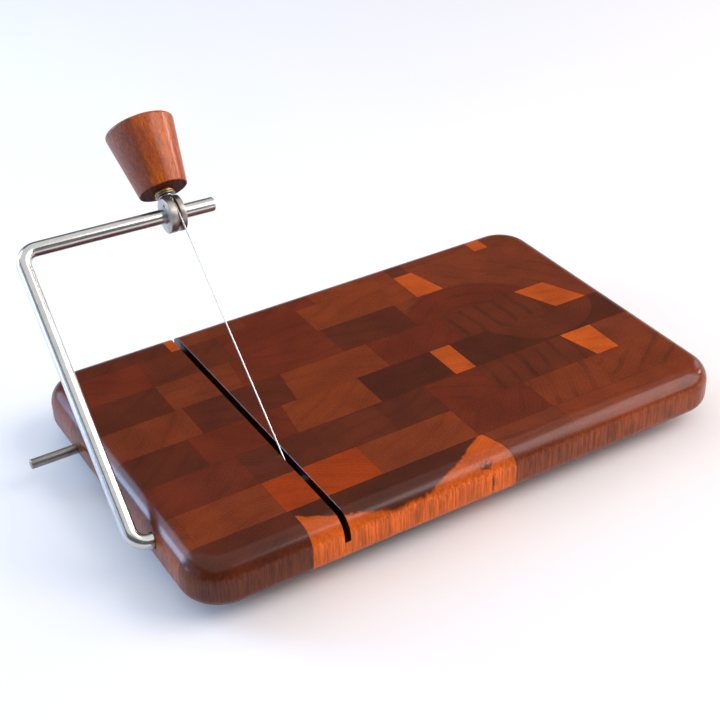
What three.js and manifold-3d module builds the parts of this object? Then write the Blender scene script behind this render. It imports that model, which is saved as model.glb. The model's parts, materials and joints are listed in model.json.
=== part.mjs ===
// Cheese wire cutter: an end-grain block board with a wire bow that swings on its left end.
// Millimetres. +X runs along the board (the bow is at -X), +Y to the back, +Z up.
// The origin is the centre of the board's underside.

import * as THREE from "three";
import { mergeVertices } from "three/addons/utils/BufferGeometryUtils.js";
import Module from "manifold-3d";

const wasm = await Module();
wasm.setup();

// ---------- driving dimensions ----------
const BOARD = { length: 325, width: 203.2, thickness: 25.4 };
const CORNER_RADIUS = 22; // plan view
const TOP_ROUND = 11;
const BOTTOM_ROUND = 7;
const STAVE_WIDTH = 26.875;
const FIRST_JOINT_Y = -79.625; // front-most glue line
const STAVE_COUNT = 8;

const SLOT = { x: -81.45, width: 3.6, floorZ: 12.4 };

const ROD_RADIUS = 3.95;
const PIVOT = { y: -50.2, z: 14 };
const BORE_RADIUS = 4.3;
const BORE_END_X = -56.5;
const HUB_RELIEF = { radius: 12, depth: 2.8 }; // relief in the back edge for the lowered hub

const BOW_ANGLE = THREE.MathUtils.degToRad(39.7); // bow plane above horizontal
const BOW = {
  lowerTipX: -57.5,
  lowerCorner: { x: -171.7, r: 0 },
  upperCorner: { x: -167.9, r: 162.6 },
  upperTip: { x: -59, r: 159.26 },
  bendRadius: 8.5,
  bendSteps: 6,
};

const STOP_PIN = { y: 50, z: 6.9, radius: 2.7, outerX: -188.5, innerX: -140.5 };

const WIRE_RADIUS = 0.4;
const WIRE_X = -82.3;
const BEAD = { radius: 1.1, length: 2, seat: 1.35, floor: 1.4 };

const HUB = { x: -82.9, radius: 9.75, width: 9.2, grooveRadius: 7.55, grooveHalf: 0.95 };
const KNOB_LEAN = THREE.MathUtils.degToRad(3); // clamp axis, measured from the bow plane
const STUD = { radius: 3.175, start: 4.4, end: 25 };
const WASHER = { outer: 5.6, bottom: 10.75, top: 11.85 };
const INSERT = { flange: 5.4, barrel: 4.75, bottom: 11.95, top: 27 };
const KNOB = { smallRadius: 13.5, largeRadius: 19.5, start: 13.9, end: 52.9, edge: 1.6 };

const FOOT = { x: 130, y: 70, height: 10, top: 8.5, bottom: 7, recess: 4.2, seat: 5 };
const SCREW = { shank: 1.7, head: 3.6, headHeight: 2.4, depth: 12 };

const CLEARANCE = 0.1; // between a piece and the one that it sits on or in
const FINE = 32; // sides of the round pieces
const ROUGH = 16;

// ---------- materials ----------
function finish(color, roughness, metalness) {
  return new THREE.MeshStandardMaterial({ color, roughness, metalness });
}

const STAVE_TONES = [0x5a2a18, 0x7d3f1c, 0x5f2c1a, 0x4a2216, 0x6a2f1a, 0x55261a, 0x743a1e, 0x572a19];
const STEEL = finish(0xb9bcbe, 0.22, 1);
const PIN_STEEL = finish(0x8a8680, 0.35, 1);
const HUB_STEEL = finish(0xa9a59c, 0.35, 1);
const WIRE_STEEL = finish(0xc9ccd0, 0.25, 1);
const BRASS = finish(0xb58a3c, 0.35, 1);
const KNOB_WOOD = finish(0x9a4a26, 0.45, 0);
const RUBBER = finish(0x1e1e1f, 0.85, 0);

// ---------- solids ----------
function solid(geometry) {
  const bare = geometry.clone();
  bare.deleteAttribute("normal");
  bare.deleteAttribute("uv");
  const merged = mergeVertices(bare);
  return new wasm.Manifold(new wasm.Mesh({
    numProp: 3,
    vertProperties: new Float32Array(merged.attributes.position.array),
    triVerts: new Uint32Array(merged.index.array),
  }));
}

function geometryOf(manifold) {
  const mesh = manifold.getMesh();
  const geometry = new THREE.BufferGeometry();
  geometry.setAttribute("position", new THREE.BufferAttribute(mesh.vertProperties, 3));
  geometry.setIndex(new THREE.BufferAttribute(mesh.triVerts, 1));
  geometry.computeVertexNormals();
  return geometry;
}

function cutFrom(geometry, ...tools) {
  return geometryOf(tools.reduce((body, tool) => body.subtract(solid(tool)), solid(geometry)));
}

// A round bar between two points.
function bar(from, to, radius, sides) {
  const along = to.clone().sub(from);
  const geometry = new THREE.CylinderGeometry(radius, radius, along.length(), sides);
  const turn = new THREE.Quaternion().setFromUnitVectors(new THREE.Vector3(0, 1, 0),
    along.clone().normalize());
  geometry.applyQuaternion(turn);
  const middle = from.clone().add(to).multiplyScalar(0.5);
  geometry.translate(middle.x, middle.y, middle.z);
  return geometry;
}

// A ring or turned piece about Y; each [radius, height] pair is a corner of its closed section.
function turned(section, sides) {
  const points = section.map(([radius, height]) => new THREE.Vector2(radius, height));
  points.push(points[0].clone());
  return new THREE.LatheGeometry(points, sides);
}

function block(minX, maxX, minY, maxY, minZ, maxZ) {
  const geometry = new THREE.BoxGeometry(maxX - minX, maxY - minY, maxZ - minZ);
  geometry.translate((minX + maxX) / 2, (minY + maxY) / 2, (minZ + maxZ) / 2);
  return geometry;
}

function part(name, geometry, material) {
  const mesh = new THREE.Mesh(geometry, material);
  mesh.name = name;
  return mesh;
}

// A path through points, each with its own direction, so that bends keep a square section.
class StationPath extends THREE.Curve {
  constructor(stations) {
    super();
    this.stations = stations;
  }

  station(t) {
    return this.stations[Math.round(t * (this.stations.length - 1))];
  }

  getPoint(t) {
    return this.station(t).point.clone();
  }

  getPointAt(t) {
    return this.getPoint(t);
  }

  getTangentAt(t) {
    return this.station(t).direction.clone();
  }
}

function tube(stations, radius, sides) {
  const section = new THREE.Shape();
  section.absarc(0, 0, radius, 0, Math.PI * 2, false);
  return new THREE.ExtrudeGeometry(section, {
    extrudePath: new StationPath(stations),
    steps: stations.length - 1,
    curveSegments: sides,
  });
}

// ---------- board ----------
function roundedSlab(edgeRadius, bottomZ, topZ) {
  const halfX = BOARD.length / 2 - edgeRadius;
  const halfY = BOARD.width / 2 - edgeRadius;
  const corner = CORNER_RADIUS - edgeRadius;
  const outline = new THREE.Shape();
  outline.moveTo(halfX, -halfY + corner);
  outline.absarc(halfX - corner, halfY - corner, corner, 0, Math.PI / 2, false);
  outline.absarc(-halfX + corner, halfY - corner, corner, Math.PI / 2, Math.PI, false);
  outline.absarc(-halfX + corner, -halfY + corner, corner, Math.PI, Math.PI * 1.5, false);
  outline.absarc(halfX - corner, -halfY + corner, corner, Math.PI * 1.5, Math.PI * 2, false);
  const geometry = new THREE.ExtrudeGeometry(outline, {
    depth: topZ - bottomZ - 2 * edgeRadius,
    bevelThickness: edgeRadius,
    bevelSize: edgeRadius,
    bevelSegments: 5,
    curveSegments: 6,
  });
  geometry.translate(0, 0, bottomZ + edgeRadius);
  return geometry;
}

function pilotHoles() {
  return footPlaces().map(({ x, y }) => bar(new THREE.Vector3(x, y, -1),
    new THREE.Vector3(x, y, SCREW.depth + 0.5), SCREW.shank + CLEARANCE, ROUGH));
}

function boardBody() {
  const spare = 40; // carries each slab's other rounded edge clear of the board
  const fromAbove = solid(roundedSlab(TOP_ROUND, -spare, BOARD.thickness));
  const fromBelow = solid(roundedSlab(BOTTOM_ROUND, 0, BOARD.thickness + spare));
  const endX = -BOARD.length / 2;
  const slotHalf = SLOT.width / 2;
  const reliefY = BOARD.width / 2 + HUB_RELIEF.radius - HUB_RELIEF.depth;
  const cuts = [
    block(SLOT.x - slotHalf, SLOT.x + slotHalf, -BOARD.width, BOARD.width, SLOT.floorZ, spare),
    bar(new THREE.Vector3(endX - 5, PIVOT.y, PIVOT.z),
      new THREE.Vector3(BORE_END_X, PIVOT.y, PIVOT.z), BORE_RADIUS, FINE),
    bar(new THREE.Vector3(HUB.x, reliefY, -5),
      new THREE.Vector3(HUB.x, reliefY, spare), HUB_RELIEF.radius, FINE),
    bar(new THREE.Vector3(endX - 5, STOP_PIN.y, STOP_PIN.z),
      new THREE.Vector3(STOP_PIN.innerX + 0.5, STOP_PIN.y, STOP_PIN.z),
      STOP_PIN.radius + CLEARANCE, ROUGH),
    ...pilotHoles(),
  ];
  const slab = fromAbove.intersect(fromBelow);
  return cuts.reduce((body, tool) => body.subtract(solid(tool)), slab);
}

function staves() {
  const body = boardBody();
  const reach = BOARD.length;
  return STAVE_TONES.slice(0, STAVE_COUNT).map((tone, index) => {
    const front = index === 0 ? -reach : FIRST_JOINT_Y + (index - 1) * STAVE_WIDTH;
    const back = index === STAVE_COUNT - 1 ? reach : FIRST_JOINT_Y + index * STAVE_WIDTH;
    const strip = solid(block(-reach, reach, front, back, -reach, reach));
    return part(`board_stave_${index + 1}`, geometryOf(body.intersect(strip)), finish(tone, 0.4, 0));
  });
}

function stopPin() {
  const { y, z, radius, outerX, innerX } = STOP_PIN;
  const shank = bar(new THREE.Vector3(outerX, y, z), new THREE.Vector3(innerX, y, z), radius, ROUGH);
  return part("stop_pin", shank, PIN_STEEL);
}

// ---------- feet ----------
function footPlaces() {
  return [[-1, -1], [1, -1], [-1, 1], [1, 1]].map(([sideX, sideY]) => (
    { x: sideX * FOOT.x, y: sideY * FOOT.y }));
}

function foot(index) {
  const hole = SCREW.shank + 0.4;
  const section = [
    [FOOT.recess, -FOOT.height], [FOOT.bottom, -FOOT.height], [FOOT.top, -CLEARANCE],
    [hole, -CLEARANCE], [hole, -FOOT.seat], [FOOT.recess, -FOOT.seat],
  ];
  return part(`rubber_foot_${index}`, turned(section, FINE).rotateX(Math.PI / 2), RUBBER);
}

function footScrew(index) {
  const seat = -FOOT.seat - CLEARANCE;
  const points = [[0, seat - SCREW.headHeight], [SCREW.head * 0.7, seat - SCREW.headHeight],
    [SCREW.head, seat - SCREW.headHeight * 0.5], [SCREW.head, seat], [SCREW.shank, seat],
    [SCREW.shank, SCREW.depth - 3], [0, SCREW.depth]];
  const profile = points.map(([radius, height]) => new THREE.Vector2(radius, height));
  const geometry = new THREE.LatheGeometry(profile, ROUGH).rotateX(Math.PI / 2);
  return part(`foot_screw_${index}`, geometry, STEEL);
}

function feet() {
  return footPlaces().flatMap(({ x, y }, place) => {
    const pieces = [foot(place + 1), footScrew(place + 1)];
    pieces.forEach((piece) => piece.position.set(x, y, 0));
    return pieces;
  });
}

// ---------- bow: local X along the pivot, Y out along the bow, Z square to the bow ----------
function bend(before, corner, after) {
  const incoming = corner.clone().sub(before).normalize();
  const outgoing = after.clone().sub(corner).normalize();
  const turn = incoming.angleTo(outgoing);
  const axis = incoming.clone().cross(outgoing).normalize();
  const start = corner.clone().addScaledVector(incoming, -BOW.bendRadius * Math.tan(turn / 2));
  const centre = start.clone().add(axis.clone().cross(incoming).multiplyScalar(BOW.bendRadius));
  return Array.from({ length: BOW.bendSteps + 1 }, (_, step) => {
    const angle = (turn * step) / BOW.bendSteps;
    return {
      point: start.clone().sub(centre).applyAxisAngle(axis, angle).add(centre),
      direction: incoming.clone().applyAxisAngle(axis, angle),
    };
  });
}

function bowStations() {
  const lowerTip = new THREE.Vector3(BOW.lowerTipX, 0, 0);
  const lowerCorner = new THREE.Vector3(BOW.lowerCorner.x, BOW.lowerCorner.r, 0);
  const upperCorner = new THREE.Vector3(BOW.upperCorner.x, BOW.upperCorner.r, 0);
  const upperTip = new THREE.Vector3(BOW.upperTip.x, BOW.upperTip.r, 0);
  const lowerBend = bend(lowerTip, lowerCorner, upperCorner);
  const upperBend = bend(lowerCorner, upperCorner, upperTip);
  return [
    { point: lowerTip, direction: lowerBend[0].direction },
    ...lowerBend,
    ...upperBend,
    { point: upperTip, direction: upperBend[upperBend.length - 1].direction },
  ];
}

// Where the arm passes through the hub, and how far the arm leans from the pivot's direction.
const ARM_LEAN = Math.atan2(BOW.upperTip.r - BOW.upperCorner.r, BOW.upperTip.x - BOW.upperCorner.x);
const HUB_CENTRE = new THREE.Vector3(HUB.x,
  BOW.upperCorner.r + (HUB.x - BOW.upperCorner.x) * Math.tan(ARM_LEAN), 0);

// The wire runs straight from the pivot axis to the hub's groove, which it meets as a tangent.
const WRAP_RADIUS = HUB.grooveRadius + WIRE_RADIUS + 0.15;
const GROOVE_X = WIRE_X - HUB.x;
const WIRE_RISE = Math.asin(WRAP_RADIUS / HUB_CENTRE.y);
const WIRE_LENGTH = Math.sqrt(HUB_CENTRE.y ** 2 - WRAP_RADIUS ** 2);

function alongWire(distance) {
  return new THREE.Vector3(WIRE_X, distance * Math.cos(WIRE_RISE), distance * Math.sin(WIRE_RISE));
}

function bowRod() {
  const rod = tube(bowStations(), ROD_RADIUS, 12);
  const wireHole = bar(alongWire(-10), alongWire(10), WIRE_RADIUS + 0.2, 12);
  const beadSeat = bar(alongWire(-10), alongWire(-BEAD.floor), BEAD.seat, ROUGH);
  return part("bow_rod", cutFrom(rod, wireHole, beadSeat), STEEL);
}

function cuttingWire() {
  const wire = bar(alongWire(-BEAD.floor), alongWire(WIRE_LENGTH), WIRE_RADIUS, 8);
  return part("cutting_wire", wire, WIRE_STEEL);
}

function wireBead() {
  const start = -BEAD.floor - CLEARANCE;
  const bead = bar(alongWire(start - BEAD.length), alongWire(start), BEAD.radius, ROUGH);
  return part("wire_bead", bead, BRASS);
}

// ---------- hub and clamp: local X along the arm ----------
function tensionHub() {
  const half = HUB.width / 2;
  const lip = 0.5;
  const bore = ROD_RADIUS + 0.2;
  const section = [
    [bore, -half], [HUB.radius - lip, -half], [HUB.radius, -half + lip],
    [HUB.radius, GROOVE_X - HUB.grooveHalf], [HUB.grooveRadius, GROOVE_X - HUB.grooveHalf],
    [HUB.grooveRadius, GROOVE_X + HUB.grooveHalf], [HUB.radius, GROOVE_X + HUB.grooveHalf],
    [HUB.radius, half - lip], [HUB.radius - lip, half], [bore, half],
  ];
  const ring = turned(section, 48).rotateZ(-Math.PI / 2);
  const studHole = bar(new THREE.Vector3(0, 0, 0), new THREE.Vector3(0, 20, 0),
    STUD.radius + CLEARANCE, FINE).rotateX(KNOB_LEAN);
  return part("tension_hub", cutFrom(ring, studHole), HUB_STEEL);
}

// The wire's eye lies round the stud on the hub's rim, and its tail drops into the groove.
function wireEye() {
  const eyeRadius = STUD.radius + CLEARANCE + WIRE_RADIUS;
  const eyeHeight = HUB.radius + CLEARANCE + WIRE_RADIUS;
  const eye = new THREE.TorusGeometry(eyeRadius, WIRE_RADIUS, 8, 24).rotateX(Math.PI / 2);
  eye.translate(0, eyeHeight, 0).rotateX(KNOB_LEAN);
  const endAngle = Math.PI / 2 + WIRE_RISE - 0.015;
  const steps = 24;
  const points = Array.from({ length: steps + 1 }, (_, step) => {
    const angle = THREE.MathUtils.lerp(KNOB_LEAN, endAngle, step / steps);
    const fromStud = angle - KNOB_LEAN;
    const sideways = THREE.MathUtils.smoothstep(fromStud, 0.12, 0.62);
    const inward = THREE.MathUtils.smoothstep(fromStud, 0.5, 1.05);
    const radius = THREE.MathUtils.lerp(eyeHeight + 0.1, WRAP_RADIUS, inward);
    return new THREE.Vector3(THREE.MathUtils.lerp(eyeRadius, GROOVE_X, sideways),
      radius * Math.cos(angle), radius * Math.sin(angle));
  });
  const path = new THREE.CatmullRomCurve3(points);
  const stations = points.map((point, step) => (
    { point, direction: path.getTangent(step / steps) }));
  const tail = solid(tube(stations, WIRE_RADIUS, 4));
  return part("wire_eye", geometryOf(solid(eye).add(tail)), WIRE_STEEL);
}

function clampStud() {
  const { radius, start, end } = STUD;
  const chamfer = 0.8;
  const profile = [[0, start], [radius - chamfer, start], [radius, start + chamfer],
    [radius, end - chamfer], [radius - chamfer, end], [0, end]];
  const points = profile.map(([x, y]) => new THREE.Vector2(x, y));
  return part("clamp_stud", new THREE.LatheGeometry(points, FINE), STEEL);
}

function clampWasher() {
  const inner = STUD.radius + 0.2;
  const section = [[inner, WASHER.bottom], [WASHER.outer, WASHER.bottom],
    [WASHER.outer, WASHER.top], [inner, WASHER.top]];
  return part("clamp_washer", turned(section, FINE), STEEL);
}

function threadedInsert() {
  const inner = STUD.radius + CLEARANCE;
  const section = [[inner, INSERT.bottom], [INSERT.flange, INSERT.bottom],
    [INSERT.flange, KNOB.start - CLEARANCE], [INSERT.barrel, KNOB.start - CLEARANCE],
    [INSERT.barrel, INSERT.top], [inner, INSERT.top]];
  return part("threaded_insert", turned(section, FINE), BRASS);
}

function knob() {
  const { smallRadius, largeRadius, start, end, edge } = KNOB;
  const hole = INSERT.barrel + CLEARANCE;
  const holeTop = INSERT.top + CLEARANCE;
  const rim = Array.from({ length: 5 }, (_, step) => {
    const angle = (Math.PI / 2) * (step / 4);
    return [largeRadius - edge + edge * Math.cos(angle), end - edge + edge * Math.sin(angle)];
  });
  const profile = [[0, holeTop], [hole, holeTop], [hole, start], [smallRadius - 0.6, start],
    [smallRadius, start + 0.6], ...rim, [0, end]];
  const points = profile.map(([x, y]) => new THREE.Vector2(x, y));
  return part("knob", new THREE.LatheGeometry(points, 48), KNOB_WOOD);
}

// ---------- assembly ----------
const clamp = new THREE.Group();
clamp.rotation.x = KNOB_LEAN;
clamp.add(clampStud(), clampWasher(), threadedInsert(), knob());

const hub = new THREE.Group();
hub.position.copy(HUB_CENTRE);
hub.rotation.z = ARM_LEAN;
hub.add(tensionHub(), wireEye(), clamp);

const bow = new THREE.Group();
bow.position.set(0, PIVOT.y, PIVOT.z);
bow.rotation.x = BOW_ANGLE;
bow.add(bowRod(), cuttingWire(), wireBead(), hub);

const cutter = new THREE.Group();
cutter.add(...staves(), stopPin(), ...feet(), bow);

export default cutter;
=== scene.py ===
"""Looks for the cheese wire cutter: an end-grain board with a hinged wire bow, in metres."""
import json
import math
import random
from collections import namedtuple

import bmesh
import bpy
from mathutils import Matrix, Vector


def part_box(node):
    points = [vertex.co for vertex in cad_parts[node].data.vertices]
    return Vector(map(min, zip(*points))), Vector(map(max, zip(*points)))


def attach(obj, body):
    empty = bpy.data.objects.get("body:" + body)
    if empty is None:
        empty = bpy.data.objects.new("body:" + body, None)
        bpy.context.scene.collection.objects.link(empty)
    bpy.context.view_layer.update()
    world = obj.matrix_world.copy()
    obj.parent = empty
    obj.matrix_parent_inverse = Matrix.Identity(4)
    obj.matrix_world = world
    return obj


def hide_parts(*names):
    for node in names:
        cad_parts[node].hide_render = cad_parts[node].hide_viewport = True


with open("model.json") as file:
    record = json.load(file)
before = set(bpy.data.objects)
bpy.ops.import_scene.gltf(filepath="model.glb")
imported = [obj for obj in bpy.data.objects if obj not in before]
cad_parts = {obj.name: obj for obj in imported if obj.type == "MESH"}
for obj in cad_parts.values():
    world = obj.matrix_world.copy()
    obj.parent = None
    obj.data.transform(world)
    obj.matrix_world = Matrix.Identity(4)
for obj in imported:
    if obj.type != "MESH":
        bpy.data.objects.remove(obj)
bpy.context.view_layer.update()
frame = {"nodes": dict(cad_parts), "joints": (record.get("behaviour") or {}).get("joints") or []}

MM = 0.001

# ---------- places read from the frame ----------
JOINTS = {joint["name"]: joint for joint in frame["joints"]}
STAVES = sorted(name for name in frame["nodes"] if name.startswith("board_stave_"))
STAVE_BOXES = [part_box(name) for name in STAVES]
BOARD_LOW = Vector([min(low[i] for low, _ in STAVE_BOXES) for i in range(3)])
BOARD_HIGH = Vector([max(high[i] for _, high in STAVE_BOXES) for i in range(3)])
FLOOR_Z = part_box("rubber_foot_1")[0].z


def middle(node):
    low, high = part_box(node)
    return (low + high) / 2


PIVOT = Vector(JOINTS["bow_pivot"]["pos_m"])
HUB_MIDDLE = middle("tension_hub")
BOW_ANGLE = math.atan2(HUB_MIDDLE.z - PIVOT.z, HUB_MIDDLE.y - PIVOT.y)

# The bow in its own plane: X along the pivot, Y outwards.
LOWER_TIP = Vector((-57.5, 0, 0)) * MM
LOWER_CORNER = Vector((-171.7, 0, 0)) * MM
UPPER_CORNER = Vector((-167.9, 162.6, 0)) * MM
UPPER_TIP = Vector((-59.0, 159.26, 0)) * MM
BEND_RADIUS = 8.5 * MM
ROD_RADIUS = 3.95 * MM
ARM = UPPER_TIP - UPPER_CORNER
ARM_LEAN = math.atan2(ARM.y, ARM.x)

BOW_SPACE = Matrix.Translation((0, PIVOT.y, PIVOT.z)) @ Matrix.Rotation(BOW_ANGLE, 4, "X")
HUB_LOCAL = BOW_SPACE.inverted() @ HUB_MIDDLE
HUB_SPACE = BOW_SPACE @ Matrix.Translation(HUB_LOCAL) @ Matrix.Rotation(ARM_LEAN, 4, "Z")
CLAMP_AXIS = HUB_SPACE.to_3x3().inverted() @ Vector(JOINTS["washer_slide"]["axis"])
CLAMP_LEAN = math.atan2(CLAMP_AXIS.z, CLAMP_AXIS.y)
CLAMP_SPACE = HUB_SPACE @ Matrix.Rotation(CLAMP_LEAN, 4, "X")

# ---------- sizes ----------
CORNER_RADIUS = 22 * MM
TOP_ROUND = 11 * MM
BOTTOM_ROUND = 7 * MM
SLOT_X = -81.45 * MM
SLOT_HALF = 1.8 * MM
SLOT_FLOOR = 12.4 * MM
SLOT_EASE = 0.2 * MM
TOUCH = 0.01 * MM
BORE_RADIUS = 4.3 * MM
BORE_END_X = -56.5 * MM
HUB_RELIEF_RADIUS = 12 * MM
HUB_RELIEF_DEPTH = 2.8 * MM
GLUE_LINE = 0.14 * MM
FOOT_COUNT = 4
PILOT_RADIUS = 1.8 * MM

WIRE_RADIUS = 0.4 * MM
WIRE_HOLE_RADIUS = 0.6 * MM
BEAD_RADIUS = 1.1 * MM
BEAD_LENGTH = 2.0 * MM
BEAD_SEAT_RADIUS = 1.35 * MM
BEAD_SEAT_DEPTH = 1.4 * MM
WIRE_X = middle("cutting_wire").x
HUB_RADIUS = 9.75 * MM
HUB_HALF = 4.6 * MM
GROOVE_RADIUS = 7.55 * MM
GROOVE_HALF = 0.95 * MM
GROOVE_X = WIRE_X - HUB_MIDDLE.x
WRAP_RADIUS = GROOVE_RADIUS + WIRE_RADIUS + 0.15 * MM
WIRE_RISE = math.asin(WRAP_RADIUS / HUB_LOCAL.y)
WIRE_LENGTH = math.sqrt(HUB_LOCAL.y ** 2 - WRAP_RADIUS ** 2)

STUD_RADIUS = 3.175 * MM
THREAD_PITCH = 1.27 * MM
THREAD_DEPTH = 0.55 * MM
RUNNING_GAP = 0.1 * MM

# Where each piece of the clamp starts and ends along the stud, from the hub's middle.
STUD_START, STUD_END = 4.4 * MM, 25 * MM
WASHER_START, WASHER_END = 10.75 * MM, 11.85 * MM
INSERT_START, INSERT_END = 11.95 * MM, 27 * MM
KNOB_START, KNOB_END = 13.9 * MM, 52.9 * MM


# ---------- mesh helpers ----------
def set_smooth(obj, degrees=32):
    """Smooth faces, with a hard edge wherever two faces meet at more than this angle."""
    limit = math.radians(degrees)
    mesh = bmesh.new()
    mesh.from_mesh(obj.data)
    for face in mesh.faces:
        face.smooth = True
    for edge in mesh.edges:
        edge.smooth = len(edge.link_faces) == 2 and edge.calc_face_angle() < limit
    mesh.to_mesh(obj.data)
    mesh.free()


def make_object(name, vertices, faces, space=None):
    """A mesh object with shared corners and its faces pointing out, placed by space."""
    data = bpy.data.meshes.new(name)
    data.from_pydata([tuple(v) for v in vertices], [], faces)
    mesh = bmesh.new()
    mesh.from_mesh(data)
    bmesh.ops.remove_doubles(mesh, verts=mesh.verts, dist=1e-7)
    bmesh.ops.recalc_face_normals(mesh, faces=mesh.faces)
    mesh.to_mesh(data)
    mesh.free()
    obj = bpy.data.objects.new(name, data)
    bpy.context.scene.collection.objects.link(obj)
    if space is not None:
        obj.matrix_world = space
    return obj


def combine(obj, other, operation):
    """Cuts, joins or intersects obj with another closed object, and removes the other."""
    modifier = obj.modifiers.new("boolean", "BOOLEAN")
    modifier.operation = operation
    modifier.solver = "EXACT"
    modifier.object = other
    bpy.context.view_layer.update()
    graph = bpy.context.evaluated_depsgraph_get()
    shape = bpy.data.meshes.new_from_object(obj.evaluated_get(graph))
    obj.modifiers.clear()
    obj.data = shape
    bpy.data.objects.remove(other)


def box(name, low, high, space=None):
    corners = [(x, y, z) for z in (low[2], high[2]) for y in (low[1], high[1])
               for x in (low[0], high[0])]
    faces = [(0, 2, 3, 1), (4, 5, 7, 6), (0, 1, 5, 4), (2, 6, 7, 3), (0, 4, 6, 2), (1, 3, 7, 5)]
    return make_object(name, corners, faces, space)


def filleted(points, radius, steps=4, closed=False):
    """Rounds the corners of a section; a third number is a point's own radius."""
    count = len(points)
    result = []
    for i, point in enumerate(points):
        here = Vector(point[:2])
        own = point[2] if len(point) > 2 else radius
        at_end = not closed and i in (0, count - 1)
        if at_end or own == 0:
            result.append(here)
            continue
        to_last = Vector(points[i - 1][:2]) - here
        to_next = Vector(points[(i + 1) % count][:2]) - here
        reach = min(own, to_last.length * 0.45, to_next.length * 0.45)
        start = here + to_last.normalized() * reach
        end = here + to_next.normalized() * reach
        for step in range(steps + 1):
            t = step / steps
            result.append(start * (1 - t) ** 2 + here * 2 * t * (1 - t) + end * t ** 2)
    return result


def lathe(name, section, sides, space=None, closed=False):
    """Turns a section of (radius, height) points about local Y."""
    vertices = []
    for side in range(sides):
        angle = 2 * math.pi * side / sides
        for radius, height in section:
            vertices.append((radius * math.cos(angle), height, radius * math.sin(angle)))
    count = len(section)
    faces = []
    for side in range(sides):
        here = side * count
        there = (side + 1) % sides * count
        for i in range(count if closed else count - 1):
            j = (i + 1) % count
            if section[i][0] == 0:
                faces.append([here + i, there + j, here + j])
            elif section[j][0] == 0:
                faces.append([here + i, there + i, here + j])
            else:
                faces.append([here + i, there + i, there + j, here + j])
    return make_object(name, vertices, faces, space)


def bar(name, start, end, radius, sides=48, space=None):
    """A plain cylinder from start to end."""
    along = end - start
    turn = along.to_track_quat("Y", "Z").to_matrix().to_4x4()
    section = [(0, 0), (radius, 0), (radius, along.length), (0, along.length)]
    obj = lathe(name, section, sides)
    obj.data.transform(Matrix.Translation(start) @ turn)
    if space is not None:
        obj.matrix_world = space
    return obj


def sweep(name, points, radius, sides, space=None, ease=0.0):
    """A round bar along a smooth line of points; ease rounds the edges of its ends."""
    rings = []
    side = None
    for i, point in enumerate(points):
        before = points[max(i - 1, 0)]
        after = points[min(i + 1, len(points) - 1)]
        tangent = (after - before).normalized()
        side = side or tangent.orthogonal()
        side = (side - tangent * side.dot(tangent)).normalized()
        rings.append((point, tangent, side, radius))
    if ease:
        rings = eased_end(rings, ease)
        rings = eased_end(rings[::-1], ease)[::-1]
    vertices = []
    for point, tangent, side, ring_radius in rings:
        up = tangent.cross(side)
        for k in range(sides):
            angle = 2 * math.pi * k / sides
            vertices.append(point + (side * math.cos(angle) + up * math.sin(angle)) * ring_radius)
    faces = [[i * sides + k, i * sides + (k + 1) % sides,
              (i + 1) * sides + (k + 1) % sides, (i + 1) * sides + k]
             for i in range(len(rings) - 1) for k in range(sides)]
    faces.append([(len(rings) - 1) * sides + k for k in range(sides)])
    faces.append(list(range(sides)))
    return make_object(name, vertices, faces, space)


def eased_end(rings, ease, steps=5):
    """Replaces the first ring with a quarter round that is as deep as ease."""
    point, tangent, side, radius = rings[0]
    inward = (rings[1][0] - point).normalized()
    rounded = []
    for step in range(steps + 1):
        angle = math.pi / 2 * step / steps
        place = point + inward * ease * (1 - math.cos(angle))
        rounded.append((place, tangent, side, radius - ease * (1 - math.sin(angle))))
    return rounded + rings[1:]


def smooth_step(t):
    t = min(max(t, 0), 1)
    return t * t * (3 - 2 * t)


# ---------- material helpers ----------
def linear(red, green, blue):
    """A colour given in 0 to 255 screen values."""
    values = [channel / 255 for channel in (red, green, blue)]
    return tuple(v / 12.92 if v <= 0.04045 else ((v + 0.055) / 1.055) ** 2.4 for v in values)


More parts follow.
